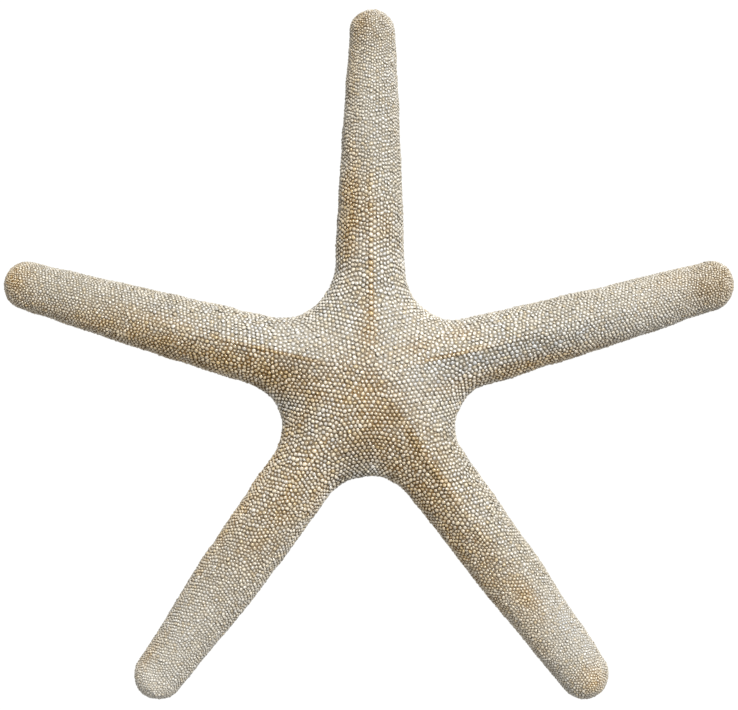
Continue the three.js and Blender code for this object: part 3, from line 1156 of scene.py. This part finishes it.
def pegs(shape, base, tip, radius):
    """A shape stretched from each base to its tip."""
    stretch = np.linalg.norm(tip - base, axis=-1)
    axis = unit(tip - base)
    axes = spun(frames(axis, np.roll(axis, 1, axis=-1)), RANDOM.uniform(0, 2 * math.pi, len(base)))
    tint, hue = RANDOM.uniform(0, 1, (2, len(base)))
    values = {**stain_and_painted_light_attributes(base), "edge": 0 * tint, "tint": tint, "hue": hue}
    return copies(shape, axes, np.stack([radius, radius, stretch], axis=-1), base, values)


def make_spines(material):
    """Blunt spines leaning over each furrow from both sides, a row of stubs beyond them, and fans of spines
    at the mouth's five corners."""
    arm, side, s, pitch = places_beside(SPINE_SHARE, SPINE_FROM, SPINES_TO)
    edge = furrow_half_width(arm, s)
    base = beside(arm, s, side * (edge + SPINE_BASE[0]), SPINE_BASE[1])
    tip = beside(arm, s, side * edge * SPINE_OVER, SPINE_TIP_UP) + loose(len(s))
    made = [pegs(knob(SPINE_RINGS), base, tip, pitch * SPINE_RADIUS)]
    arm, side, s, pitch = places_beside(SPINE_SHARE, STUB_FROM, SPINES_TO)
    edge = furrow_half_width(arm, s)
    base = beside(arm, s, side * (edge + STUB_BASE[0]), STUB_BASE[1])
    tip = beside(arm, s, side * (edge + STUB_TIP[0]), STUB_TIP[1]) + loose(len(s)) * [1, 1, 0]
    made.append(pegs(knob(STUB_RINGS), base, tip, pitch * SPINE_RADIUS))
    corner = (ARM_ANGLE + BISECTOR)[:, None]
    cos, sin = np.cos(corner), np.sin(corner)
    for side in (1, -1):
        for ends in MOUTH_SPINES:
            out, off, up = np.array(ends).T
            x = out * cos - side * off * sin
            y = out * sin + side * off * cos
            points = np.stack([x, y, up + 0 * x], axis=-1)
            base, tip = points[:, 0], points[:, 1]
            made.append(pegs(knob(SPINE_RINGS), base, tip, np.full(ARMS, MOUTH_SPINE_RADIUS)))
    new_piece("spines", joined(made), material)


def make_feet(material):
    """Dried tube feet hanging from each furrow's roof in two rows, each a stalk with a disc on its end."""
    arm, side, s, pitch = places_beside(FOOT_SHARE, FOOT_FROM, FEET_TO)
    s = s + np.where(side > 0, 0, pitch / 2)
    c = side * FOOT_OFF * furrow_half_width(arm, s)
    roof = furrow_height(arm, s, c)
    base = beside(arm, s, c, roof + FOOT_ROOT)
    tip = base + loose(len(s), FOOT_LOOSENESS)
    tip[:, 2] = np.maximum(roof * FOOT_REACH, FOOT_LEAST)
    radius = FOOT_RADIUS * pitch / pitch.max() * RANDOM.uniform(*RADIUS_SPREAD, len(s))
    new_piece("tube_feet", pegs(knob(FOOT_RINGS), base, tip, radius), material)


# The stage, in metres and watts

WHITE = (1.0, 1.0, 1.0, 1.0)
KEY_AZIMUTH = math.radians(58)
KEY_ELEVATION = math.radians(50)
KEY_DISTANCE = 1.1
KEY_SIZE = 0.2
KEY_POWER = 18.3
SKY_STRENGTH = 0.54
FLOOR_GREY = 0.04
FLOOR_SIZE = 6.0


def make_floor():
    """A floor that glows white and reflects so little that shadows on it are faint."""
    material, tree = new_material("floor")
    surface = node(
        tree, "ShaderNodeBsdfPrincipled", {}, Base_Color=(*[FLOOR_GREY] * 3, 1.0), Roughness=0.9,
        Specular_IOR_Level=0.0, Emission_Color=WHITE, Emission_Strength=1.0,
    )
    node(tree, "ShaderNodeOutputMaterial", {}, Surface=surface)
    far = FLOOR_SIZE / 2
    mesh = bpy.data.meshes.new("floor")
    mesh.from_pydata([(-far, -far, 0), (far, -far, 0), (far, far, 0), (-far, far, 0)], [], [(0, 1, 2, 3)])
    mesh.materials.append(material)
    floor = bpy.data.objects.new("floor", mesh)
    bpy.context.scene.collection.objects.link(floor)


def aim(thing, target):
    """Turns a light so that it shines on target, a point in metres."""
    thing.rotation_euler = (target - thing.location).to_track_quat("-Z", "Y").to_euler()


def make_lights():
    """A light from the upper right of the picture, and an even white sky."""
    lamp = bpy.data.lights.new("key", "AREA")
    lamp.shape = "DISK"
    lamp.size = KEY_SIZE
    lamp.energy = KEY_POWER
    key = bpy.data.objects.new("key", lamp)
    flat = KEY_DISTANCE * math.cos(KEY_ELEVATION)
    key.location = (
        flat * math.cos(KEY_AZIMUTH), flat * math.sin(KEY_AZIMUTH), KEY_DISTANCE * math.sin(KEY_ELEVATION),
    )
    bpy.context.scene.collection.objects.link(key)
    aim(key, Vector((0, 0, 0)))
    world = bpy.data.worlds.new("sky")
    world.use_nodes = True
    background = world.node_tree.nodes["Background"]
    background.inputs["Color"].default_value = WHITE
    background.inputs["Strength"].default_value = SKY_STRENGTH
    bpy.context.scene.world = world


def make_camera():
    """A long lens straight above, so that a pixel covers MM_PER_PX at the starfish's widest line."""
    camera = bpy.data.cameras.new("camera")
    camera.lens = FOCAL_LENGTH
    camera.sensor_width = SENSOR_WIDTH
    camera.sensor_fit = "HORIZONTAL"
    eye = bpy.data.objects.new("camera", camera)
    view_width = FRAME_WIDTH_PX * MM_PER_PX * MM
    distance = view_width * FOCAL_LENGTH / SENSOR_WIDTH
    eye.location = (
        (FRAME_WIDTH_PX / 2 - PHOTO_MIDDLE_PX[0]) * MM_PER_PX * MM,
        (PHOTO_MIDDLE_PX[1] - FRAME_HEIGHT_PX / 2) * MM_PER_PX * MM,
        distance + KEEL_HEIGHT * WIDEST_AT * MM,
    )
    camera.clip_start = CLIP_START
    bpy.context.scene.collection.objects.link(eye)
    bpy.context.scene.camera = eye
    bpy.context.scene.view_settings.view_transform = "Standard"


def plan_shift():
    """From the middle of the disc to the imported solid's origin: the plan's box is centred on the solid's."""
    t = np.linspace(0, 3, LINE_STEPS)
    outline = np.concatenate([half_body(half, t, 1) for half in HALVES])
    low, high = (np.array(corner) / MM for corner in cad_box)
    shift = (low + high) / 2 - (outline.min(axis=0) + outline.max(axis=0)) / 2
    return np.array([shift[0], shift[1], 0.0])


PLAN_SHIFT = plan_shift()
make_skin(skin_material())
granules = granule_material()
make_granules(granules)
make_spines(granules)
make_feet(foot_material())
make_floor()
make_lights()
make_camera()
